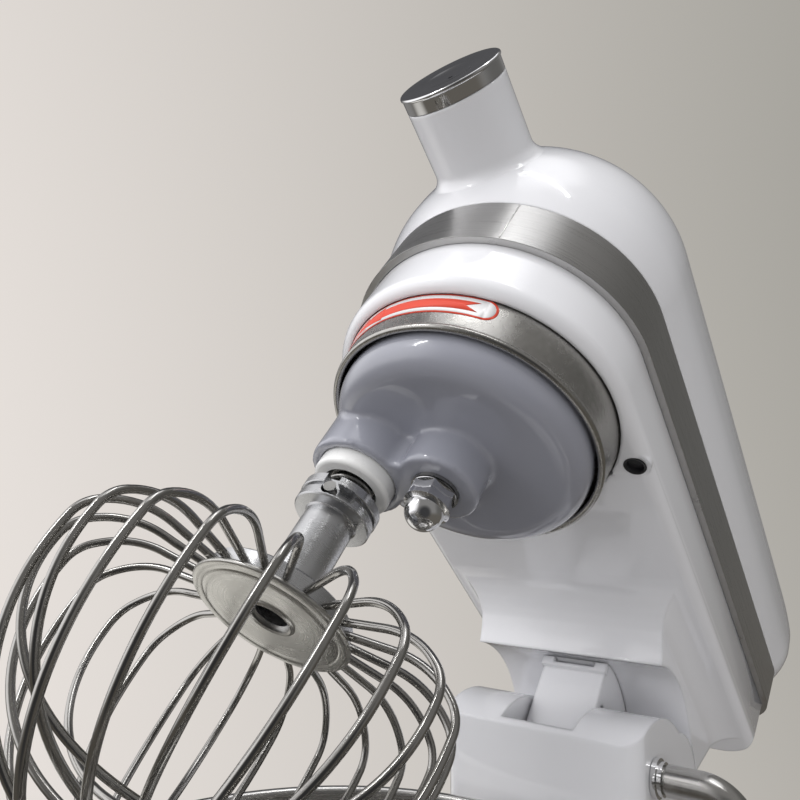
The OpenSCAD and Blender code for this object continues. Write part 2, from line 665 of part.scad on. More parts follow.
// Rings of points round one whole wire, turned to its place round the hub
function wire_rings(tip, turn) =
    let(h = wire_line(tip), n = len(h),
        line = concat(h, [for (i = [n - 2:-1:0]) [-h[i][0], h[i][1]]]), m = len(line))
    [for (i = [0:m - 1]) let(a = line[max(i - 1, 0)], b = line[min(i + 1, m - 1)],
            t = atan2(b[1] - a[1], b[0] - a[0]))
        for (j = [0:wire_k - 1]) let(q = 360 / wire_k * (j + 0.5), u = wire_d / 2 * cos(q), v = wire_d / 2 * sin(q),
            x = line[i][0] - u * sin(t))
        [x * cos(turn) - v * sin(turn), x * sin(turn) + v * cos(turn), line[i][1] + u * cos(t)]];
// Skin of one wire of m rings whose points start at o
function wire_skin(m, o) = concat([[for (j = [wire_k - 1:-1:0]) o + j]],
    [for (i = [0:m - 2], j = [0:wire_k - 1]) let(a = o + i * wire_k + j, b = o + i * wire_k + (j + 1) % wire_k)
        [a, b, b + wire_k, a + wire_k]],
    [[for (j = [0:wire_k - 1]) o + (m - 1) * wire_k + j]]);
// Each loop's tip lies just above the one before, so that the wires cross without touching
module whisk_wires() color(steel) at_beater() {
    loops = wire_n / 2;
    tips = [for (i = [0:loops - 1]) -whisk_z + wire_d / 2 + (wire_d + 0.1) * i];
    m = 2 * len(wire_line(tips[0])) - 1;
    polyhedron([for (i = [0:loops - 1]) each wire_rings(tips[i], 360 / wire_n * (((i * 3) % loops) + 0.5))],
        [for (i = [0:loops - 1]) each wire_skin(m, i * m * wire_k)]);
}

// ---- hub cap -----------------------------------------------------------
module hub_cap() color("silver") in_head() translate([reach + hub_x + gap, 0, hub_z]) rotate([0, 90, 0]) union() {
    rotate_extrude($fn = 96) difference() {
        union() {
            square([hub_r, cap_h - 1]);
            translate([0, cap_h - 2]) square([hub_r - 0.4, 2]);
            translate([hub_r - 0.4, cap_h - 1]) circle(r = 1, $fn = 24);
        }
        // shallow mirror dish in the face
        translate([0, cap_h + 70 - 1.6]) circle(r = 70, $fn = 180);
        translate([-1, -1]) square([hub_r - 2, 2.5]);
    }
    translate([0, 0, -12]) difference() {
        cylinder(h = 14, r = hub_r - 8.3, $fn = 64);
        translate([0, 0, -1]) cylinder(h = 12, r = hub_r - 10.3, $fn = 64);
    }
}

// ---- stand -------------------------------------------------------------
// Plan of the base plate, d inside its edge
module base_plan(d) {
    union() {
        translate([base_cx, 0]) circle(r = base_r - d, $fn = 144);
        rrect(-base_back + d, 60, base_w - d, 20 - d / 2);
        polygon([[-base_back + 30, base_w - d], [base_cx - 36, base_r - d - 6.6], [base_cx, base_r - d - 6.6],
            [base_cx, -base_r + d + 6.6], [base_cx - 36, -base_r + d + 6.6], [-base_back + 30, -base_w + d]]);
    }
}
module column_side() {
    union() {
        intersection() {
            union() {
                translate([crest_x, crest_c]) circle(r = crest_r, $fn = 120);
                circle(r = barrel_r, $fn = 96);
                polygon([[-barrel_r, 0], [-barrel_r - 3, -30], [-col_back + 4, -110], [-col_back, -hinge_z + base_h],
                    [col_front, -hinge_z + base_h], [col_front, 34], [10, 20]]);
            }
            translate([-100, -hinge_z]) square([100 + col_front, hinge_z + 80]);
        }
    }
}
module column_solid(d) {
    intersection() {
        translate([0, 100, 0]) rotate([90, 0, 0]) linear_extrude(200) column_side();
        translate([0, 0, -hinge_z]) linear_extrude(hinge_z + 80) rrect(-base_back - 30, col_front, col_w, 9);
    }
}
module base_casting() color(white) at_hinge() difference() {
    union() {
        column_solid(0);
        translate([0, 0, -hinge_z + foot_h]) {
            linear_extrude(base_h - foot_h - 7) base_plan(0);
            for (i = [0:4]) let(a = 90 * i / 5, b = 90 * (i + 1) / 5)
                translate([0, 0, base_h - foot_h - 7.01]) linear_extrude(7 * sin(b)) base_plan(7 * (1 - cos(a)));
        }
        // fillet between the column and the base plate
        translate([0, col_w - 9, 0]) rotate([90, 0, 0]) linear_extrude(2 * col_w - 18) difference() {
            translate([col_front - 1, -hinge_z + base_h - 1]) square([9, 9]);
            translate([col_front + 8, -hinge_z + base_h + 8]) circle(r = 8, $fn = 48);
        }
    }
    // hollow of the column, open below
    difference() {
        translate([-barrel_r + 4, -col_w + col_t, -hinge_z - 1])
            cube([barrel_r + col_front - 4 - col_t, 2 * col_w - 2 * col_t, hinge_z - 40 + 1]);
    }
    // slot for the hinge lug, open at the top and behind it
    translate([-20, -lug_w - 1.6, -41]) cube([col_front - 3.6 + 20, 2 * lug_w + 3.2, 120]);
    translate([-barrel_r - 10, -lug_w - 1.6, -10]) cube([60, 2 * lug_w + 3.2, 120]);
    // hollow of the base plate
    translate([0, 0, -hinge_z - 1]) linear_extrude(base_h - 8) difference() {
        base_plan(5);
        translate([base_cx, 0]) circle(r = 12, $fn = 32);
    }
    // hinge pin bore
    ybar(pin_r, -col_w + 4, col_w - 4);
    // lever shaft bore
    translate([lev_x, 0, lev_z]) {
        ybar(6 + run, lug_w + 3, col_w + 5);
        ybar(10.4, lug_w + 3, lug_w + 12);
    }
    // bowl seat
    translate([base_cx, 0, -hinge_z + seat_z]) cylinder(h = 20, r = bfoot_r + 5, $fn = 96);
    // knob bore and switch opening in the right cheek
    translate([6, 0, knob_z - hinge_z]) ybar(4.2, -col_w - 5, -col_w + 20);
    translate([-8, -col_w - 5, 72 - hinge_z]) cube([28, 20, 20]);
    // cord gland bore in the back
    translate([0, 0, 20 - hinge_z]) xbar(7, -base_back - 5, -base_back + 20);
}
module bottom_cover() color(dark) at_hinge() translate([0, 0, -hinge_z + foot_h]) linear_extrude(2)
    difference() {
        base_plan(5.3);
        for (p = foot_xy()) translate(p) circle(r = 3.2, $fn = 24);
        translate([base_cx, 0]) circle(r = 12.3, $fn = 32);
    }
function foot_xy() = [[-base_back + 22, base_w - 22], [-base_back + 22, -base_w + 22],
    [base_cx + 40, 62], [base_cx + 40, -62]];
module feet() color(dark) at_hinge() translate([0, 0, -hinge_z]) for (p = foot_xy()) translate([p[0], p[1], 0]) {
    cylinder(h = foot_h, r = foot_r, $fn = 48);
    cylinder(h = foot_h + 6, r = 3, $fn = 24);
}
module seat_ring() color(steel) at_hinge() translate([base_cx, 0, -hinge_z + seat_z]) difference() {
    cylinder(h = 3, r = bfoot_r + 5, $fn = 96);
    translate([0, 0, -1]) cylinder(h = 9, r = bfoot_r + 1, $fn = 96);
}
module hinge_pin() color(steel) at_hinge() ybar(pin_r, -col_w + 4, col_w - 4);
module hinge_bushes() color("#b08d57") at_hinge() for (s = [0, 1]) mirror([0, s, 0]) difference() {
    translate([0, 0, 0]) ybar(pin_r + 4, lug_w + 0.2, lug_w + 1.5);
    ybar(pin_r + run, 0, 60);
}
module control_board() color("#2f6b3c") at_hinge() translate([6, -col_w + 14, 52 - hinge_z]) {
    cube([34, 1.6, 90]);
}
module cord_gland() color(dark) at_hinge() translate([0, 0, 20 - hinge_z]) difference() {
    union() {
        xbar(7, -base_back - 1, -base_back + 8);
        xbar(10, -base_back - 3, -base_back);
    }
    xbar(4, -base_back - 10, -base_back + 20);
}
module base_screws() color(steel) at_hinge() translate([0, 0, -hinge_z + foot_h - 1]) for (x = [0, 90], s = [-1, 1])
    translate([x, s * 40, 0]) cylinder(h = 1, r = 3.4, $fn = 24);
module switch_frame() color(dark) at_hinge() translate([-8, -col_w - 1.6, 72 - hinge_z]) difference() {
    union() {
        translate([-2.5, 0, -2.5]) cube([33, 1.6, 25]);
        translate([0, 1.6, 0]) cube([28, 10, 20]);
    }
    translate([2, -1, 2]) cube([24, 9, 16]);
}
module speed_pot() color(dark) at_hinge() translate([6, 0, knob_z - hinge_z]) {
    ybar(4.2 - gap, -col_w - 4, -col_w + 6);
    ybar(12, -col_w + col_t, -col_w + 14);
}
module speed_knob() color(dark) at_hinge() translate([6, 0, knob_z - hinge_z]) difference() {
    union() {
        ybar(knob_r, -col_w - 14, -col_w - 0.6);
        ybar(knob_r - 3, -col_w - 20, -col_w - 13);
        translate([-2, -col_w - 22, -knob_r + 4]) cube([4, 4, 2 * knob_r - 8]);
    }
    ybar(4.2 - gap + run, -col_w - 4.5, -col_w);
}
module switch_rocker() color("#c0392b") at_hinge() translate([6, -col_w + 1.4, 82 - hinge_z]) rotate([7, 0, 0]) {
    rotate([0, 90, 0]) translate([0, 0, -11.6]) cylinder(h = 23.2, r = 2, $fn = 24);
    translate([-11.6, -4.4, -6.5]) cube([23.2, 4.4, 13]);
}

// ---- lock lever --------------------------------------------------------
module at_lever() {
    at_hinge() translate([lev_x, 0, lev_z]) children();
}
module lever_shaft() color(steel) at_lever() ybar(6, lug_w + 3.4, col_w + 6);
module lever_cam() color(steel) at_lever() difference() {
    union() {
        ybar(8, lug_w + 3.5, lug_w + 11.5);
        translate([1.8, 0, 0]) ybar(8, lug_w + 3.5, lug_w + 11.5);
    }
    ybar(6, 0, 80);
}
module lever_flange() color(steel) at_lever() difference() {
    union() {
        ybar(8.4, col_w + 0.3, col_w + 2.4);
        ybar(7.2, col_w + 2.4, col_w + 4.6);
    }
    ybar(6, 0, 80);
}
module lever_tube() color(steel) at_lever() {
    ybar(lev_r, col_w + 6, col_w + lev_out);
    // bend from the axle line down into the grip
    translate([0, col_w + lev_out, -lev_bend]) rotate([90, 0, 90]) rotate_extrude(angle = 90, $fn = 96)
        translate([lev_bend, 0]) circle(r = lev_r, $fn = 48);
    translate([0, col_w + lev_out + lev_bend, -lev_len]) cylinder(h = lev_len - lev_bend, r = lev_r, $fn = 48);
    translate([0, col_w + lev_out + lev_bend, -lev_len]) sphere(r = lev_r, $fn = 48);
}

// ---- bowl --------------------------------------------------------------
module bowl() color(steel) at_hinge() translate([base_cx, 0, -hinge_z + seat_z + bfoot_h]) rotate_extrude($fn = 180)
    union() {
        difference() {
            polygon(concat([[0, 0]], arc(bowl_r - 6 - bowl_edge, bowl_edge, bowl_edge, -90, -4, 14),
                [[bowl_r, bowl_h - 3], [0, bowl_h - 3]]));
            polygon(concat([[-1, bowl_t]], arc(bowl_r - 6 - bowl_edge, bowl_edge, bowl_edge - bowl_t, -90, -4, 14),
                [[bowl_r - bowl_t, bowl_h - 3 + 0.01], [-1, bowl_h - 3 + 0.01]]));
        }
        translate([bowl_r + rim_r - bowl_t, bowl_h - rim_r]) circle(r = rim_r, $fn = 32);
    }
module bowl_foot() color(steel) at_hinge() translate([base_cx, 0, -hinge_z + seat_z]) difference() {
    union() {
        cylinder(h = bfoot_h, r = bfoot_r, $fn = 96);
    }
    translate([0, 0, -1]) cylinder(h = bfoot_h + 2, r = bfoot_r - 1.5, $fn = 96);
}

base_casting();
bottom_cover();
feet();
seat_ring();
hinge_pin();
hinge_bushes();
control_board();
cord_gland();
base_screws();
switch_frame();
speed_pot();
upper_shell();
lower_housing();
trim_band();
hinge_lug();
drip_ring();
hub_liner();
gearbox_plate();
motor_stator();
ring_gear();
main_bearing();
housing_screws();
rotor();
motor_fan();
motor_pinion();
idler_gears();
idler_shaft();
hub_spindle();
planetary_housing();
main_shaft();
main_wheel();
nut_washer();
acorn_nut();
beater_bearings();
seal_ring();
beater_shaft();
cross_pin();
planet_gear();
lock_spring();
whisk_hub();
whisk_dish();
whisk_wires();
hub_cap();
lever_tube();
lever_flange();
lever_shaft();
lever_cam();
speed_knob();
switch_rocker();
bowl();
bowl_foot();
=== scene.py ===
import math

import bmesh
import bpy
from mathutils import Matrix, Vector


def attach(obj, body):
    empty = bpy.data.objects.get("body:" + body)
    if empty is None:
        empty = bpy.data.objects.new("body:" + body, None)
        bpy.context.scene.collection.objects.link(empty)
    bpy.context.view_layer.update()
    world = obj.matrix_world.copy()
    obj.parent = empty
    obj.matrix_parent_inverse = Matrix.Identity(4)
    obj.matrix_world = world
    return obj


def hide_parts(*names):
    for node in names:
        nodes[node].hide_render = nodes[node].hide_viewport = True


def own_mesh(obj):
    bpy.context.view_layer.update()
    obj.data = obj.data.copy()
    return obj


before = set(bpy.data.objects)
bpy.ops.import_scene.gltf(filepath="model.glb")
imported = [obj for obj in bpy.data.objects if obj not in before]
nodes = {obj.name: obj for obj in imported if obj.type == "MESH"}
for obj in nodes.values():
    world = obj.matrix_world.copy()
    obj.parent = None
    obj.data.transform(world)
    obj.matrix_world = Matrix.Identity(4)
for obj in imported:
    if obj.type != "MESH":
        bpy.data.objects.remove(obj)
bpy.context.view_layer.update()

# Camera. It stands low in front of the bowl, to the mixer's own left, and looks up at the raised head.
lens = bpy.data.cameras.new("view_camera")
lens.lens = 33.18
lens.sensor_width = 36
lens.clip_start = 0.01
camera = bpy.data.objects.new("view_camera", lens)
bpy.context.scene.collection.objects.link(camera)
camera.matrix_world = Matrix((
    (-0.59378, 0.12009, 0.79561, 0.315986),
    (0.80455, 0.07562, 0.58904, 0.162852),
    (0.01057, 0.98988, -0.14152, 0.343331),
    (0, 0, 0, 1)))
bpy.context.scene.camera = camera
bpy.context.scene.view_settings.view_transform = "Standard"

# Upper shell. The die-cast cover of the head, with the attachment hub's barrel cast on its nose.
# It is screwed down on the lower housing and sprayed in a hard white gloss that keeps a trace of orange
# peel and softens its edges.


class Value:
    """A shader socket that takes part in sums and products."""

    def __init__(self, finish, socket):
        self.finish, self.socket = finish, socket

    def __add__(self, other):
        return self.finish.make("ShaderNodeMath", {"operation": "ADD"}, {0: self, 1: other})

    def __mul__(self, other):
        return self.finish.make("ShaderNodeMath", {"operation": "MULTIPLY"}, {0: self, 1: other})


class Finish:
    """One material: a Principled shader and the nodes that feed it."""

    def __init__(self, name, colour, rough, metal=0.0, coat=0.0, specular=0.5):
        self.material = bpy.data.materials.new(name)
        self.material.use_nodes = True
        self.tree = self.material.node_tree
        self.shader = self.tree.nodes["Principled BSDF"]
        for socket, value in (("Base Color", (*colour, 1)), ("Roughness", rough), ("Metallic", metal),
                              ("Coat Weight", coat), ("Coat Roughness", 0.03),
                              ("Specular IOR Level", specular)):
            self.shader.inputs[socket].default_value = value

    def make(self, kind, settings=None, inputs=None, out=0):
        """Adds a node, sets it and links its inputs, and gives back one of its outputs."""
        node = self.tree.nodes.new(kind)
        for key, value in (settings or {}).items():
            setattr(node, key, value)
        for key, value in (inputs or {}).items():
            if isinstance(value, Value):
                self.tree.links.new(value.socket, node.inputs[key])
            else:
                node.inputs[key].default_value = value
        return Value(self, node.outputs[out])

    def place(self, stretch=(1, 1, 1), matrix=None):
        """Object coordinates, first brought into a piece's own frame, then stretched."""
        spot = self.make("ShaderNodeTexCoord", out=3)
        if matrix:
            spot = self.make("ShaderNodeMapping", {"vector_type": "TEXTURE"}, {
                0: spot, "Location": matrix.to_translation(), "Rotation": matrix.to_euler()})
        return self.make("ShaderNodeMapping", {}, {0: spot, "Scale": stretch})

    def noise(self, scale, detail=2.0, rough=0.5, at=None):
        """Cloudy noise from 0 to 1."""
        return self.make("ShaderNodeTexNoise", {}, {
            0: at or self.place(), "Scale": scale, "Detail": detail, "Roughness": rough})

    def around(self, matrix, scale):
        """Noise in rings round the axis of a turned piece, as a lathe tool leaves them."""
        spot = self.place((1, 1, 0), matrix)
        out = self.make("ShaderNodeVectorMath", {"operation": "LENGTH"}, {0: spot}, out=1)
        return self.make("ShaderNodeTexNoise", {"noise_dimensions": "1D"}, {
            "W": out, "Scale": scale, "Detail": 3})

    def spread(self, value, low, high, to_low, to_high):
        """Stretches low..high to to_low..to_high, and holds it there."""
        return self.make("ShaderNodeMapRange", {}, {0: value, 1: low, 2: high, 3: to_low, 4: to_high})

    def blend(self, factor, a, b):
        """Mixes two colours."""
        pair = [(*c, 1) if isinstance(c, tuple) else c for c in (a, b)]
        return self.make("ShaderNodeMix", {"data_type": "RGBA"}, {0: factor, 6: pair[0], 7: pair[1]}, out=2)

    def feed(self, socket, value):
        """Drives an input of the Principled shader."""
        self.tree.links.new(value.socket, self.shader.inputs[socket])

    def rough(self, value, low, high):
        """Lets the roughness wander between two values."""
        self.feed("Roughness", self.spread(value, 0.3, 0.7, low, high))

    def bump(self, height, strength, distance, edge=0.0):
        """Raises the surface a little, and rounds sharp edges by the radius edge."""
        inputs = {"Height": height, "Strength": strength, "Distance": distance}
        if edge:
            inputs["Normal"] = self.make("ShaderNodeBevel", {"samples": 6}, {"Radius": edge})
        self.feed("Normal", self.make("ShaderNodeBump", {}, inputs))


# The head is drawn level, in millimetres from the hinge axis, then lifted with this matrix.
LIFT = Matrix.Translation((-0.0635, 0, 0.206)) @ Matrix.Rotation(math.radians(-42.5), 4, "Y")
HEAD = LIFT @ Matrix.Scale(0.001, 4)


def linked(name, data):
    """A new object in the scene."""
    made = bpy.data.objects.new(name, data)
    bpy.context.scene.collection.objects.link(made)
    return made


def as_mesh(name, bm):
    """Turns a finished bmesh into a mesh."""
    mesh = bpy.data.meshes.new(name)
    bm.to_mesh(mesh)
    bm.free()
    return mesh


def piece(name, bm, place, finish, body, stands_for=(), crease=35):
    """Puts a finished bmesh into the scene as one piece that rides on a body."""
    bmesh.ops.remove_doubles(bm, verts=bm.verts, dist=0.0008)
    bmesh.ops.recalc_face_normals(bm, faces=bm.faces)
    bmesh.ops.transform(bm, matrix=place, verts=bm.verts)
    for face in bm.faces:
        face.smooth = True
    made = linked(name, as_mesh(name, bm))
    made.data.materials.append(finish.material)
    if crease:
        split = made.modifiers.new("crease", "EDGE_SPLIT")
        split.split_angle = math.radians(crease)
    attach(made, body)
    if stands_for:
        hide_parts(*stands_for)
    return made


def dress(finish, *names, crease=32):
    """Gives CAD nodes their finish and shades their curved faces smooth."""
    for name in names:
        node = nodes[name]
        node.data.materials.clear()
        node.data.materials.append(finish.material)
        for face in node.data.polygons:
            face.use_smooth = True
            face.material_index = 0
        weld = node.modifiers.new("weld", "WELD")
        weld.merge_threshold = 0.00001
        split = node.modifiers.new("crease", "EDGE_SPLIT")
        split.split_angle = math.radians(crease)


def line(bm, points):
    """A chain of vertices joined by edges, from (x, y, z) points."""
    verts = [bm.verts.new(p) for p in points]
    return verts, [bm.edges.new(pair) for pair in zip(verts, verts[1:])]


def turned(points, centre=(0, 0, 0), axis=(0, 0, 1), steps=96, sweep=360):
    """A lathe-turned form from a profile that already stands beside its axis."""
    bm = bmesh.new()
    verts, edges = line(bm, points)
    bmesh.ops.spin(bm, geom=verts + edges, cent=centre, axis=axis, angle=math.radians(sweep), steps=steps,
                   use_merge=sweep == 360)
    return bm


def arc(x, z, radius, start, end, steps=8):
    """Points of a round corner in a profile."""
    turns = [math.radians(start + (end - start) * i / steps) for i in range(steps + 1)]
    return [(x + radius * math.cos(t), 0, z + radius * math.sin(t)) for t in turns]


REACH = 196.7                        # from the hinge to the axis of the nose and the planetary
BAND_W = 70.6                        # half width at the trim band
SWELL = 4.8                          # how far the cover swells out past the band
SWELL_H = 24                         # and over what height
WIDE = BAND_W + SWELL
PART_Z = 116.3                       # parting line of cover and housing
SHELL_H = 90.0                       # height of the cover
FULL = 0.78                          # fullness of its crown, where 1 is an ellipse
REAR_X = 66.0                        # rear end, behind the hinge at the housing's lower edge
UNDER_Z = 60.0
LEAN = math.tan(math.radians(20))
REAR_R = 22                          # rounding of the rear end at its sides and at the crown
CROWN_R = 46
HUB_Z = 154.8                        # axis and radius of the attachment hub's barrel
HUB_R = 23.4
HUB_FILLET = 5.0

enamel = Finish("white_enamel", (0.80, 0.805, 0.83), 0.22, coat=1.0)
enamel.rough(enamel.noise(14, 3), 0.16, 0.26)
enamel.feed("Base Color", enamel.blend(enamel.noise(9, 4, 0.6), (0.785, 0.79, 0.82), (0.81, 0.81, 0.83)))
enamel.bump(enamel.noise(650, 2), 0.04, 0.0004, 0.0022)


def section():
    """Half of the shell's cross section, from its parting line up over the swell to the crown."""
    half = [(BAND_W - 3, PART_Z)]
    for step in range(9):
        half.append((BAND_W + SWELL * math.sin(math.pi / 2 * step / 8), PART_Z + SWELL_H * step / 8))
    for step in range(1, 41):
        turn = math.pi / 2 * step / 40
        out = WIDE * math.cos(turn) ** FULL if step < 40 else 0.0
        half.append((out, PART_Z + SWELL_H + (SHELL_H - SWELL_H) * math.sin(turn) ** FULL))
    return half


def shell_width(z):
    """Half width of the shell at a height."""
    up = z - PART_Z
    if up < SWELL_H:
        return BAND_W + SWELL * math.sin(math.pi / 2 * up / SWELL_H)
    rise = min(1.0, (up - SWELL_H) / (SHELL_H - SWELL_H)) ** (1 / FULL)
    return WIDE * (1 - rise * rise) ** (FULL / 2)


def leaning_shell():
    """The section spun round the nose, drawn straight back, then drawn in to the leaning end."""
    half = section()
    bm = turned([(REACH, -r, z) for r, z in half], (REACH, 0, 0), (0, 0, 1), 90, 180)
    full = [(-r, z) for r, z in half] + [(r, z) for r, z in reversed(half[:-1])]
    verts, last = line(bm, [(REACH, y, z) for y, z in full])
    for depth in (46, 38, 31, 25, 20, 15.5, 11.5, 8, 5, 2.8, 1.2, 0.3, 0):
        side = REAR_R - math.sqrt(REAR_R ** 2 - max(REAR_R - depth, 0) ** 2)
        crown = CROWN_R - math.sqrt(CROWN_R ** 2 - (CROWN_R - depth) ** 2)
        low = [(y, PART_Z + (z - PART_Z) * (SHELL_H - crown) / SHELL_H) for y, z in full]
        verts, edges = line(bm, [(-REAR_X - (z - UNDER_Z) * LEAN + depth, y * (WIDE - side) / WIDE, z)
                                 for y, z in low])
        bmesh.ops.bridge_loops(bm, edges=last + edges)
        last = edges
    bm.faces.new(verts)
    return bm


def cast_barrel():
    """The hub's barrel, its foot drawn out on to the nose in a small fillet."""
    foot = [HUB_R + HUB_FILLET * (1 - math.sin(math.pi / 2 * i / 6)) for i in range(7)]
    mouth = [(107.9, HUB_R), (108.3, HUB_R - 0.4), (108.3, HUB_R - 5), (78, HUB_R - 5)]
    profile = [(0, 0, HUB_Z + r) for r in foot] + [(x, 0, HUB_Z + r) for x, r in mouth]
    bm = turned(profile, (0, 0, HUB_Z), (1, 0, 0), 120)
    for vert in bm.verts:
        if vert.co.x < 1:
            left = HUB_R + HUB_FILLET - math.hypot(vert.co.y, vert.co.z - HUB_Z)
            rise = HUB_FILLET - math.sqrt(max(HUB_FILLET ** 2 - left ** 2, 0))
            nose = math.sqrt(max(shell_width(vert.co.z) ** 2 - vert.co.y ** 2, 1))
            vert.co.x = nose + rise - 0.15
    bmesh.ops.translate(bm, vec=(REACH, 0, 0), verts=bm.verts)
    return bm


piece("upper_shell_cover", leaning_shell(), HEAD, enamel, "head", ["upper_shell"], 50)
piece("hub_barrel", cast_barrel(), HEAD, enamel, "head", (), 40)

# Lower housing, hinge lug and stand. Die castings in the same gloss enamel, which rounds their edges.
# The lug is bolted into the housing's neck and turns on the pin through the column's two cheeks.
dress(enamel, "lower_housing", "hinge_lug", "base_casting", crease=25)

# Painted shade in the screw holes. Black liners are set in the two holes in the housing's underside,
# through which the head's halves are screwed together, and paint the shade inside the holes.
black = Finish("black_moulding", (0.018, 0.018, 0.02), 0.45)
black.rough(black.noise(500, 2), 0.38, 0.55)
black.bump(black.noise(1600, 2), 0.12, 0.0002, 0.0006)
for side, hand in ((-1, "right"), (1, "left")):
    # Each liner is a black ring of painted shade, sitting inside its hole.
    shade_liner = turned([(4.1, 0, 59.9), (4.6, 0, 59.8), (4.7, 0, 60.2), (4.15, 0, 60.4), (4.15, 0, 64.8),
                   (3.4, 0, 64.9), (3.4, 0, 60.6), (3.7, 0, 60.1), (4.1, 0, 59.9)], steps=48)
    bmesh.ops.translate(shade_liner, vec=(REACH - 34, side * 60.5, 0), verts=shade_liner.verts)
    piece("painted_shade_well_" + hand, shade_liner, HEAD, black, "head", (), 60)

# Trim band. A strip of stainless sheet, brushed along its length and bent round the head between the
# cover and the housing. Its two ends meet in a weld near the nose that is ground flat.
brushed = Finish("brushed_band", (0.58, 0.57, 0.56), 0.3, 1.0)
grain = brushed.noise(1.0, 5, 0.75, brushed.place((18, 18, 4200), LIFT))
haze = brushed.noise(11, 3)
brushed.rough(grain, 0.24, 0.40)
brushed.feed("Base Color", brushed.blend(brushed.spread(grain, 0.25, 0.75, 0, 1) * 0.7 + haze * 0.3,
                                         (0.47, 0.465, 0.455), (0.68, 0.675, 0.665)))
brushed.bump(grain, 0.10, 0.0002, 0.0005)
dress(brushed, "trim_band")
WELD_TURN = math.radians(23.3)
seam = bmesh.new()
bmesh.ops.create_cube(seam, size=1)
bmesh.ops.scale(seam, vec=(0.35, 0.55, 26.5), verts=seam.verts)
bmesh.ops.bevel(seam, geom=seam.edges[:], offset=0.12, segments=3, profile=0.5, affect="EDGES", material=-1)
bmesh.ops.translate(seam, vec=(BAND_W + 0.02, 0, 102.3), verts=seam.verts)
bmesh.ops.rotate(seam, cent=(0, 0, 0), matrix=Matrix.Rotation(WELD_TURN, 3, "Z"), verts=seam.verts)
bmesh.ops.translate(seam, vec=(REACH, 0, 0), verts=seam.verts)
satin = Finish("weld_satin", (0.72, 0.715, 0.70), 0.22, 1.0)
satin.rough(satin.noise(300, 3), 0.15, 0.35)
piece("band_weld", seam, HEAD, satin, "head", (), 60)

# Drip ring. Rolled stainless sheet that flares upward, with a bead rolled along its lower edge.
# It is pressed up into the housing's opening round the planetary and catches oil.
RING_R = 59.35                       # outer radius of the wall just above the bead
RING_LOW = 44.6                      # height at which the wall begins
stainless = Finish("rolled_stainless", (0.50, 0.49, 0.465), 0.24, 1.0)
cloud = stainless.noise(38, 5, 0.65)
speck = stainless.noise(420, 3, 0.6)
stainless.rough(cloud * 0.7 + speck * 0.3, 0.17, 0.34)
stainless.feed("Base Color", stainless.blend(speck, (0.43, 0.42, 0.40), (0.58, 0.57, 0.54)))
stainless.bump(cloud * 0.8 + speck * 0.2, 0.10, 0.0012)
bead = arc(58.5, 42.7, 1.5, 130, 395, 24)
wall = [(RING_R, 0, RING_LOW), (61.5, 0, 60.2), (61.6, 0, 66), (57.6, 0, 66)]
ring = turned([(57.6, 0, 66), (58.2, 0, 44.2)] + bead + wall, steps=180)
bmesh.ops.translate(ring, vec=(REACH, 0, 0), verts=ring.verts)
piece("drip_ring_bead", ring, HEAD, stainless, "head", ["drip_ring"], 40)

# Direction mark. A printed film stuck round the drip ring: a red arrow on white, in a rounded red frame,
# that shows which way the planetary turns.
RING_FLARE = 0.1378                  # how far the ring's wall leans out per millimetre of height
ink = Finish("film_red", (0.62, 0.085, 0.045), 0.42, coat=0.1, specular=0.3)
ink.rough(ink.noise(60, 3), 0.36, 0.5)
ink.feed("Base Color", ink.blend(ink.noise(30, 4), (0.60, 0.055, 0.03), (0.70, 0.08, 0.045)))
paper = Finish("film_white", (0.80, 0.80, 0.80), 0.4, coat=0.1, specular=0.3)
paper.rough(paper.noise(60, 3), 0.22, 0.36)
paper.feed("Base Color", paper.blend(paper.noise(40, 4), (0.74, 0.74, 0.745), (0.83, 0.83, 0.83)))


def film(name, outline, lift, finish):
    """A flat outline of (angle in degrees, height) laid round the ring's wall."""
    bm = bmesh.new()
    face = bm.faces.new([bm.verts.new((a, h, 0)) for a, h in outline])
    bmesh.ops.triangulate(bm, faces=[face])
    for bend in range(-60, 50, 3):
        bmesh.ops.bisect_plane(bm, geom=bm.verts[:] + bm.edges[:] + bm.faces[:], plane_co=(bend, 0, 0),
                               plane_no=(1, 0, 0))
    for vert in bm.verts:
        turn = math.radians(vert.co.x)
        height = vert.co.y
        out = RING_R + (height - RING_LOW) * RING_FLARE + lift
        vert.co = (REACH + out * math.cos(turn), out * math.sin(turn), height)
    made = piece(name, bm, HEAD, finish, "head", (), 0)
    thick = made.modifiers.new("film", "SOLIDIFY")
    thick.thickness = 0.00005
    thick.offset = 0


def capsule(left, right, low, high):
    """Outline of a band with one round end."""
    mid = (low + high) / 2
    tall = (high - low) / 2
    wide = math.degrees(tall / 60)
    end = [(right - wide + wide * math.sin(math.radians(t)), mid - tall * math.cos(math.radians(t)))
           for t in range(0, 181, 12)]
    return [(left, low)] + end + [(left, high)]


film("mark_frame", capsule(-56, 34, 50.2, 60.2), 0.06, ink)
film("mark_ground", capsule(-54, 33, 51.0, 59.4), 0.13, paper)
film("mark_arrow", [(-40, 55.2), (-14, 58.8), (-14, 57.6), (27, 57.6), (22, 55.2), (27, 52.8), (-14, 52.8),
                    (-14, 51.6)], 0.20, ink)
film("mark_line_low", [(-52, 52.0), (-24, 52.0), (-24, 52.6), (-52, 52.6)], 0.20, ink)
film("mark_line_high", [(-52, 57.8), (-24, 57.8), (-24, 58.4), (-52, 58.4)], 0.20, ink)
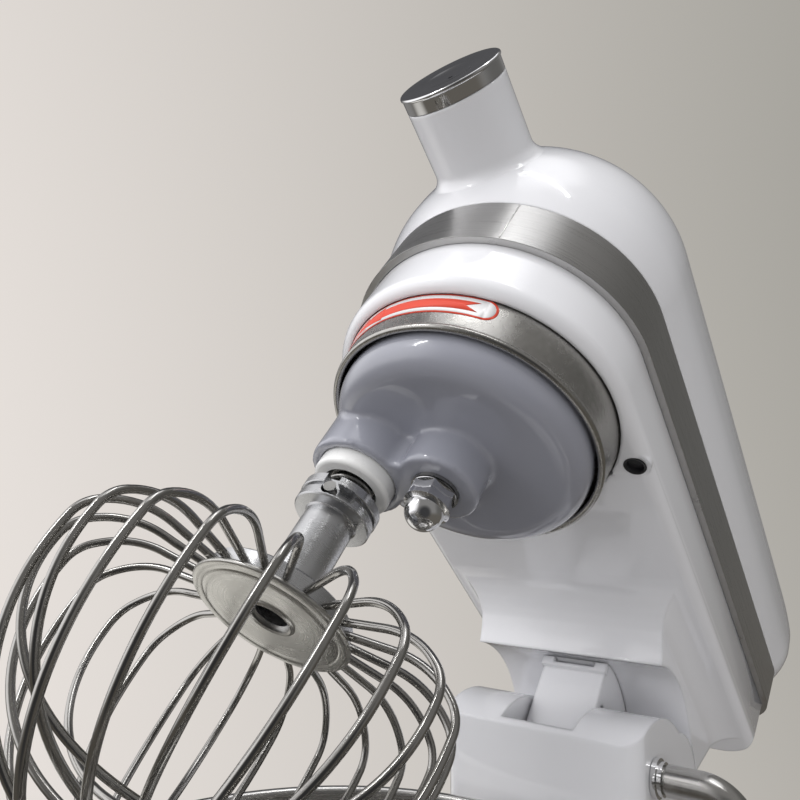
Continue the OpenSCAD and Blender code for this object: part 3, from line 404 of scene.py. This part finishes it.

# Planetary housing. An aluminium casting, turned on its rim, whose two bosses run into its face in soft
# fillets. It hangs on the main shaft, carries the beater off its axis, and is sprayed a pale lilac-grey.
# Its base colour is set darker than that pale paint, as painted shade for its downward place under the head.
shaded_lilac = Finish("lilac_enamel", (0.30, 0.305, 0.35), 0.22, coat=1.0)
shaded_lilac.rough(shaded_lilac.noise(20, 3), 0.16, 0.28)
shaded_lilac.feed("Base Color", shaded_lilac.blend(shaded_lilac.noise(12, 4), (0.285, 0.292, 0.338), (0.31, 0.318, 0.362)))
shaded_lilac.bump(shaded_lilac.noise(600, 2), 0.04, 0.0004)


def settled(made):
    """The form that an object's modifiers leave, as a bmesh, without the object."""
    final = bpy.data.meshes.new_from_object(made.evaluated_get(bpy.context.evaluated_depsgraph_get()))
    bpy.data.objects.remove(made)
    bm = bmesh.new()
    bm.from_mesh(final)
    return bm


cast = linked("planetary_cast", nodes["planetary_housing"].data.copy())
melt = cast.modifiers.new("melt", "REMESH")
melt.mode = "VOXEL"
melt.voxel_size = 0.0009
soft = cast.modifiers.new("soft", "SMOOTH")
soft.factor = 0.5
soft.iterations = 14
piece("planetary_cover", settled(cast), Matrix.Identity(4), shaded_lilac, "planetary", ["planetary_housing"],
      0)

# Seal ring. A white collar moulded in hard plastic and pressed into the beater's boss, to keep oil off
# the food.
moulded = Finish("white_moulding", (0.80, 0.80, 0.79), 0.3, coat=0.4)
moulded.rough(moulded.noise(90, 3), 0.24, 0.38)
moulded.feed("Base Color", moulded.blend(moulded.noise(25, 4), (0.76, 0.76, 0.75), (0.82, 0.82, 0.81)))
dress(moulded, "seal_ring")

# Plated parts. The hub's pull-off cap, the lever's stepped rosette and the acorn nut that holds the
# planetary on its shaft. They are turned or pressed in steel, polished and chromed.
NUT_TOP = 13.0                       # height of the boss's face, on which the nut is tightened
chrome = Finish("chrome", (0.78, 0.78, 0.785), 0.05, 1.0)
chrome.feed("Roughness", chrome.spread(chrome.noise(120, 4, 0.6), 0.4, 0.75, 0.035, 0.12))
chrome.bump(chrome.noise(70, 2), 0.03, 0.0006)
dress(chrome, "hub_cap", "lever_flange")
nut = bmesh.new()
bmesh.ops.create_cone(nut, cap_ends=False, segments=6, radius1=9.7, radius2=9.7, depth=7.6)
corners = [edge for edge in nut.edges if abs(edge.verts[0].co.z - edge.verts[1].co.z) > 1]
bmesh.ops.bevel(nut, geom=corners, offset=0.25, segments=2, profile=0.5, affect="EDGES", material=-1)
bmesh.ops.translate(nut, vec=(0, 0, -4.2), verts=nut.verts)
seat = [(9.62, 0, -0.42), (8.3, 0, -0.05), (5.2, 0, -0.05)]
dome = [(9.62, 0, -7.98), (8.2, 0, -9.0), (7.9, 0, -9.4)] + arc(0, -10, 7.9, 0, -90, 16)
for profile in (seat, dome):
    verts, edges = line(nut, profile)
    bmesh.ops.spin(nut, geom=verts + edges, cent=(0, 0, 0), axis=(0, 0, 1), angle=math.tau, steps=72,
                   use_merge=True)
bmesh.ops.translate(nut, vec=(REACH, 0, NUT_TOP), verts=nut.verts)
piece("acorn_nut_plated", nut, HEAD, chrome, "planetary", ["acorn_nut"], 30)

# Steel parts. Shafts, pins, gears, bearings and small fittings, ground bright and a little oiled.
# Most of them are closed in by the castings, and the beater's shaft and pin are seen below its boss.
steel = Finish("ground_steel", (0.40, 0.395, 0.385), 0.25, 1.0)
steel.rough(steel.noise(240, 3), 0.18, 0.36)
steel.feed("Base Color", steel.blend(steel.noise(60, 4), (0.30, 0.295, 0.285), (0.48, 0.475, 0.46)))
dress(steel, "nut_washer", "beater_shaft", "cross_pin", "hub_liner", "ring_gear", "main_bearing",
      "main_shaft", "main_wheel", "planet_gear", "beater_bearings", "idler_gears", "idler_shaft",
      "hub_spindle", "motor_pinion", "hinge_pin", "base_screws", "lever_shaft", "lever_cam", "seat_ring")

# Lock spring. Four turns of steel wire round the beater's shaft, between its boss and the whisk's hub.
# It holds the hub down on the pin and is pressed shorter as the whisk goes up.
SPRING_R = 9.4
SPRING_LOW = 3.2                     # centre of the wire at the lower end
SPRING_RISE = 15.6
SPRING_STEPS = 160
BEAT_TURN = math.radians(-79.1)
BEAT_OUT = 37                        # from the planetary's axis to the beater's
BEAT_LIFT = LIFT @ Matrix.Translation((0.001 * (REACH + BEAT_OUT * math.cos(BEAT_TURN)),
                                       0.001 * BEAT_OUT * math.sin(BEAT_TURN), 0))
BEATER = BEAT_LIFT @ Matrix.Scale(0.001, 4)
coil = bmesh.new()
bmesh.ops.create_circle(coil, cap_ends=False, segments=12, radius=0.9)
bmesh.ops.rotate(coil, cent=(0, 0, 0), matrix=Matrix.Rotation(math.pi / 2, 3, "X"), verts=coil.verts)
bmesh.ops.translate(coil, vec=(SPRING_R, 0, SPRING_LOW), verts=coil.verts)
bmesh.ops.spin(coil, geom=coil.verts[:] + coil.edges[:], cent=(0, 0, 0), axis=(0, 0, 1),
               dvec=(0, 0, SPRING_RISE / SPRING_STEPS), angle=4 * math.tau, steps=SPRING_STEPS)
spring = piece("lock_spring_coil", coil, BEATER, steel, "beater", ["lock_spring"], 0)
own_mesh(spring)

# Whisk hub. Turned aluminium: a grooved collar, a tube, and a disc drilled for the wires.
# Two J-shaped slots are milled into the collar. They slip over the shaft's pin and lock on it.
SLOT_OUT = 22.5                      # middle of a cutter that leaves the tube whole
SLOT_LONG = 20
SLOT_WIDE = 6
machined = Finish("machined_aluminium", (0.60, 0.61, 0.63), 0.26, 1.0)
rings = machined.around(BEAT_LIFT, 2600)
turning = machined.noise(1.0, 4, 0.7, machined.place((25, 25, 3000), BEAT_LIFT))
wear = machined.noise(90, 4, 0.6)
machined.feed("Roughness", machined.spread(wear * 0.6 + turning * 0.4, 0.35, 0.65, 0.2, 0.36))
machined.feed("Base Color", machined.blend(machined.spread(rings * 0.5 + wear * 0.5, 0.3, 0.7, 0, 1),
                                           (0.56, 0.565, 0.575), (0.74, 0.745, 0.755)))
machined.bump(rings * 0.5 + turning * 0.5, 0.07, 0.0002)
collar = [(6.7, 0, 1.8), (16.2, 0, 1.8), (17, 0, 1.1), (17, 0, -2.6), (16.6, 0, -3), (14.9, 0, -3.1),
          (14.9, 0, -4.3), (16.2, 0, -4.4), (16.6, 0, -4.8), (16.6, 0, -8.4), (16, 0, -9)]
stem = [(11.4, 0, -9.2), (10.7, 0, -9.9), (10.7, 0, -46.2), (11.2, 0, -47)]
disc = [(28.9, 0, -47), (29.6, 0, -47.7), (29.6, 0, -54), (6.7, 0, -54), (6.7, 0, 1.8)]
hub = turned(collar + stem + disc, steps=96)
bmesh.ops.remove_doubles(hub, verts=hub.verts, dist=0.0008)
bmesh.ops.recalc_face_normals(hub, faces=hub.faces)
slots = bmesh.new()


def swing(made, degrees, out):
    """Moves part of the cutter out to the collar and round the hub's axis."""
    bmesh.ops.translate(slots, vec=out, verts=made)
    bmesh.ops.rotate(slots, cent=(0, 0, 0), matrix=Matrix.Rotation(math.radians(degrees), 3, "Z"), verts=made)


for turn in (22, 202):
    entry = bmesh.ops.create_cube(slots, size=1)["verts"]
    bmesh.ops.scale(slots, vec=(SLOT_LONG, SLOT_WIDE, 12), verts=entry)
    swing(entry, turn, (SLOT_OUT, 0, 1))
    for step in range(5):
        bore = bmesh.ops.create_cone(slots, cap_ends=True, segments=24, radius1=2.9, radius2=2.9,
                                     depth=SLOT_LONG)["verts"]
        bmesh.ops.rotate(slots, cent=(0, 0, 0), matrix=Matrix.Rotation(math.pi / 2, 3, "Y"), verts=bore)
        swing(bore, turn + 8 * step, (SLOT_OUT, 0, -5.2))
blank = linked("hub_blank", as_mesh("hub_blank", hub))
cutter = linked("slot_cutter", as_mesh("slot_cutter", slots))
cut = blank.modifiers.new("slots", "BOOLEAN")
cut.object = cutter
cut.operation = "DIFFERENCE"
cut.solver = "EXACT"
cut.use_self = True
hub = settled(blank)
bpy.data.objects.remove(cutter)
piece("whisk_hub_turned", hub, BEATER, machined, "whisk", ["whisk_hub"], 30)

# Whisk dish. A plate stamped from aluminium sheet, with a rolled rim and a flanged hole. It is riveted
# over the disc and closes the holes in which the wires end.
dish = turned([(8.3, 0, -53.9), (8.3, 0, -55.6), (9.0, 0, -56.2), (9.9, 0, -55.9), (10.4, 0, -55.3),
               (24.6, 0, -56.1), (27.2, 0, -56.2), (27.9, 0, -55.8), (28.6, 0, -56.1), (31.2, 0, -55.9)]
              + arc(31.5, -54.95, 0.95, -100, 90, 10) + [(30.4, 0, -54.1), (8.3, 0, -53.9)], steps=120)
stamped = Finish("stamped_plate", (0.62, 0.61, 0.58), 0.26, 1.0)
lathe = stamped.around(BEAT_LIFT, 1800)
stain = stamped.noise(60, 4, 0.6)
stamped.feed("Roughness", stamped.spread(stain * 0.6 + lathe * 0.4, 0.35, 0.65, 0.22, 0.38))
stamped.feed("Base Color", stamped.blend(stain * 0.6 + lathe * 0.4, (0.54, 0.53, 0.50), (0.80, 0.79, 0.75)))
stamped.bump(lathe, 0.05, 0.0002)
piece("whisk_dish_stamped", dish, BEATER, stamped, "whisk", ["whisk_dish"], 35)

# Whisk wires. Eleven loops of polished stainless spring wire, let into the disc at both ends and crossed
# one over the other at the tip.
WIRE_THICK = 0.003
WIRE_OUT = 30.5                      # radius and height at which a wire leaves the disc
WIRE_Z = -51.6
WIRE_TIP = -154.5                    # height of the lowest loop's tip
WIRE_STACK = 3.1                     # and how much higher each next one crosses
polished = Finish("polished_wire", (0.44, 0.43, 0.41), 0.14, 1.0)
streak = polished.noise(1.0, 3, 0.6, polished.place((60, 60, 60)))
scratch = polished.noise(700, 3, 0.7)
polished.rough(streak * 0.6 + scratch * 0.4, 0.08, 0.18)
polished.feed("Base Color", polished.blend(streak, (0.36, 0.35, 0.33), (0.54, 0.53, 0.51)))
polished.bump(scratch, 0.04, 0.0002)


def wire_line(tip):
    """Half of one loop as (radius, height): out of the disc, over the shoulder and down to its tip."""
    points = [(WIRE_OUT - 8, WIRE_Z), (WIRE_OUT, WIRE_Z), (WIRE_OUT + 18.5, WIRE_Z + 0.4)]
    for heading, reached, bend, steps in ((0, 45, 33.0, 10), (45, 90, 14.0, 8)):
        r, z = points[-1]
        start = math.radians(heading)
        for step in range(1, steps + 1):
            turn = math.radians(heading + (reached - heading) * step / steps)
            points.append((r + bend * (math.sin(turn) - math.sin(start)),
                           z - bend * (math.cos(start) - math.cos(turn))))
    r, z = points[-1]
    for step in range(1, 37):
        turn = math.pi / 2 * step / 36
        points.append((r * max(math.cos(turn), 0) ** 0.84, z + (tip - z) * math.sin(turn) ** 0.95))
    return points


curve = bpy.data.curves.new("wires", "CURVE")
curve.dimensions = "3D"
curve.bevel_depth = WIRE_THICK / 2
curve.bevel_resolution = 3
for i in range(11):
    half = wire_line(WIRE_TIP + WIRE_STACK * i)
    turn = math.radians(360 / 22 * ((i * 3) % 11 + 0.5) + 4)
    whole = half + [(-x, z) for x, z in reversed(half[:-1])]
    spline = curve.splines.new("POLY")
    spline.points.add(len(whole) - 1)
    for point, (x, z) in zip(spline.points, whole):
        point.co = (*(BEATER @ Vector((x * math.cos(turn), x * math.sin(turn), z))), 1)
wires = linked("whisk_wire_loops", curve)
curve.materials.append(polished.material)
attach(wires, "whisk")
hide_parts("whisk_wires")

# Lock lever. A bent stainless tube with a closed end, pushed on its shaft and turned by hand beside the
# column, to free the head.
tube = Finish("lever_stainless", (0.60, 0.59, 0.57), 0.22, 1.0)
rub = tube.noise(150, 3, 0.6)
tube.rough(rub, 0.14, 0.28)
tube.feed("Base Color", tube.blend(rub, (0.52, 0.51, 0.49), (0.68, 0.67, 0.65)))
dress(tube, "lever_tube")

# Bowl. Deep-drawn stainless, buffed round its wall, with a rolled rim. Its foot ring is welded on and
# locks in the base's seat with a bayonet.
drawn = Finish("bowl_stainless", (0.58, 0.57, 0.55), 0.24, 1.0)
buff = drawn.noise(1.0, 4, 0.7, drawn.place((10, 10, 1500)))
drawn.rough(buff, 0.18, 0.32)
drawn.feed("Base Color", drawn.blend(buff, (0.60, 0.59, 0.57), (0.74, 0.73, 0.71)))
drawn.bump(buff, 0.05, 0.0002)
dress(drawn, "bowl", "bowl_foot")

# Gearbox plate. Aluminium plate, milled flat and bored for the shafts, bolted across the housing above
# the gear train.
milled = Finish("milled_aluminium", (0.60, 0.61, 0.62), 0.3, 1.0)
cutter_marks = milled.noise(1.0, 3, 0.6, milled.place((900, 40, 40), LIFT))
milled.rough(cutter_marks, 0.25, 0.4)
milled.bump(cutter_marks, 0.1, 0.0002)
dress(milled, "gearbox_plate")

# Black parts. Covers, gland, frame, knob and fan are moulded in black plastic with a fine grain, and the
# head's screws are blackened steel.
dress(black, "bottom_cover", "cord_gland", "switch_frame", "speed_pot", "speed_knob", "housing_screws",
      "motor_fan")

# Feet. Four black rubber feet, moulded with a slight grip and screwed to the base's underside.
rubber = Finish("foot_rubber", (0.03, 0.03, 0.03), 0.8)
rubber.rough(rubber.noise(200, 3), 0.7, 0.9)
rubber.bump(rubber.noise(900, 3), 0.2, 0.0003)
dress(rubber, "feet")

# Motor. A stator of stacked iron sheets round a rotor wound in lacquered copper, closed in by the head.
iron = Finish("laminated_iron", (0.12, 0.12, 0.125), 0.5, 0.6)
sheets = iron.noise(1.0, 2, 0.5, iron.place((5, 5, 1800), LIFT))
iron.rough(sheets, 0.4, 0.6)
iron.bump(sheets, 0.3, 0.0003)
dress(iron, "motor_stator")
copper = Finish("winding", (0.5, 0.25, 0.12), 0.4, 0.6)
turns = copper.noise(1.0, 2, 0.5, copper.place((5, 5, 1500), LIFT))
copper.feed("Base Color", copper.blend(turns, (0.36, 0.16, 0.07), (0.60, 0.31, 0.15)))
copper.bump(turns, 0.4, 0.0003)
dress(copper, "rotor")

# Hinge bushes. Two bushes of sintered bronze, pressed into the column's cheeks, in which the pin turns.
bronze = Finish("sintered_bronze", (0.5, 0.36, 0.2), 0.4, 1.0)
bronze.rough(bronze.noise(700, 3), 0.32, 0.5)
dress(bronze, "hinge_bushes")

# Controls. A lacquered circuit board inside the column, and the power switch's rocker in glossy red
# plastic, snapped into its black frame.
board = Finish("board_lacquer", (0.03, 0.16, 0.07), 0.4, coat=0.5)
board.feed("Base Color", board.blend(board.noise(180, 2), (0.02, 0.11, 0.05), (0.04, 0.19, 0.09)))
dress(board, "control_board")
signal = Finish("rocker_red", (0.5, 0.03, 0.02), 0.3, coat=0.3)
signal.rough(signal.noise(300, 3), 0.24, 0.4)
dress(signal, "switch_rocker")

# Floor. A pale disc in matt paint that catches the mixer's shadow. It doesn't show in reflections.
disc_form = bmesh.new()
bmesh.ops.create_circle(disc_form, cap_ends=True, segments=96, radius=0.5)
floor = linked("floor", as_mesh("floor", disc_form))
ground = Finish("floor_paint", (0.55, 0.535, 0.515), 0.6)
ground.feed("Base Color", ground.blend(ground.noise(6, 4), (0.53, 0.515, 0.495), (0.57, 0.555, 0.535)))
floor.data.materials.append(ground.material)
floor.visible_glossy = False

# Background. The camera sees a wall that darkens from left to right. Matt surfaces are lit by a soft
# room, and glossy ones reflect a plainer one with a bright window and dark corners.


class Sky(Finish):
    """The world's node tree, with the same way of adding nodes."""

    def __init__(self, world):
        world.use_nodes = True
        self.tree = world.node_tree
        self.shader = self.tree.nodes["Background"]
        self.spot = self.make("ShaderNodeTexCoord", out=0)

    def facing(self, way):
        """How far a direction agrees with a given one."""
        return self.make("ShaderNodeVectorMath", {"operation": "DOT_PRODUCT"}, {0: self.spot, 1: way}, out=1)

    def toward(self, way, low, high):
        """0 away from a direction, 1 towards it, and smooth between."""
        return self.make("ShaderNodeMapRange", {"interpolation_type": "SMOOTHSTEP"},
                         {0: self.facing(Vector(way).normalized()), 1: low, 2: high, 3: 0.0, 4: 1.0})

    def patches(self, base, *rows):
        """A room of one colour with patches of (direction, where it begins, where it is full, colour)."""
        for way, low, high, colour in rows:
            base = self.blend(self.toward(way, low, high), base, colour)
        return base


UP = (0.0, 0.0, 1.0)
DOWN = (0.0, 0.0, -1.0)
world = bpy.data.worlds.new("studio")
bpy.context.scene.world = world
sky = Sky(world)
backdrop = sky.blend(sky.spread(sky.facing((-0.59, 0.80, 0.2)), -0.5, 0.55, 0.0, 1.0),
                     (0.80, 0.752, 0.715), (0.385, 0.372, 0.34))
room = sky.patches((0.46, 0.455, 0.455),
                   ((0.594, -0.805, 0.55), 0.1, 0.95, (1.0, 0.99, 1.01)),
                   (UP, 0.55, 0.95, (0.90, 0.90, 0.92)),
                   (DOWN, -0.05, 0.45, (0.16, 0.15, 0.14)))
mirror = sky.patches((0.24, 0.235, 0.23),
                     ((0.594, -0.805, 0.40), 0.60, 0.93, (1.3, 1.29, 1.31)),
                     ((-0.80, 0.59, 0.10), 0.62, 0.95, (0.13, 0.128, 0.122)),
                     ((-0.50, -0.48, 0.72), 0.82, 0.96, (0.09, 0.09, 0.095)),
                     ((-0.05, 0.0, 1.0), 0.90, 0.98, (1.35, 1.35, 1.38)),
                     (DOWN, -0.05, 0.35, (0.13, 0.12, 0.105)),
                     ((0.80, 0.58, -0.05), 0.70, 0.95, (0.05, 0.05, 0.052)),
                     ((-0.12, -0.82, -0.56), 0.90, 0.99, (0.85, 0.83, 0.79)))
path = sky.make("ShaderNodeLightPath").socket.node.outputs
glossy = Value(sky, path["Is Glossy Ray"])
seen = Value(sky, path["Is Camera Ray"])
sky.feed(0, sky.blend(seen, sky.blend(glossy, room, mirror), backdrop))

# Lamps. Broad soft panels above, at the left and low in front, which don't show in reflections, and two
# narrow tubes that do.


def lamp(name, spot, aim, size, power, glossy=True):
    """A flat rectangular lamp turned towards a point."""
    data = bpy.data.lights.new(name, "AREA")
    data.shape = "RECTANGLE"
    data.size, data.size_y = size
    data.energy = power
    made = linked(name, data)
    made.location = spot
    made.rotation_euler = (Vector(aim) - Vector(spot)).to_track_quat("-Z", "Y").to_euler()
    made.visible_glossy = glossy


lamp("ceiling_panel", (0.3, -0.1, 1.9), (0, 0, 0.3), (1.4, 1.0), 10.5, False)
lamp("left_window", (1.3, -0.9, 1.1), (0.05, 0, 0.35), (0.9, 1.2), 9.5, False)
lamp("low_front", (1.4, 0.5, 0.15), (0, 0, 0.25), (0.8, 0.5), 2.0, False)
lamp("side_fill", (0.7, 1.4, 0.35), (0, 0, 0.3), (0.8, 0.6), 3.4, False)
lamp("spot_tube", (0.9, -0.5, 1.5), (0.05, 0, 0.4), (0.09, 0.5), 2.2)
lamp("ceiling_tube", (0.1, 0.25, 1.9), (0, 0, 0.5), (0.06, 1.1), 1.5)
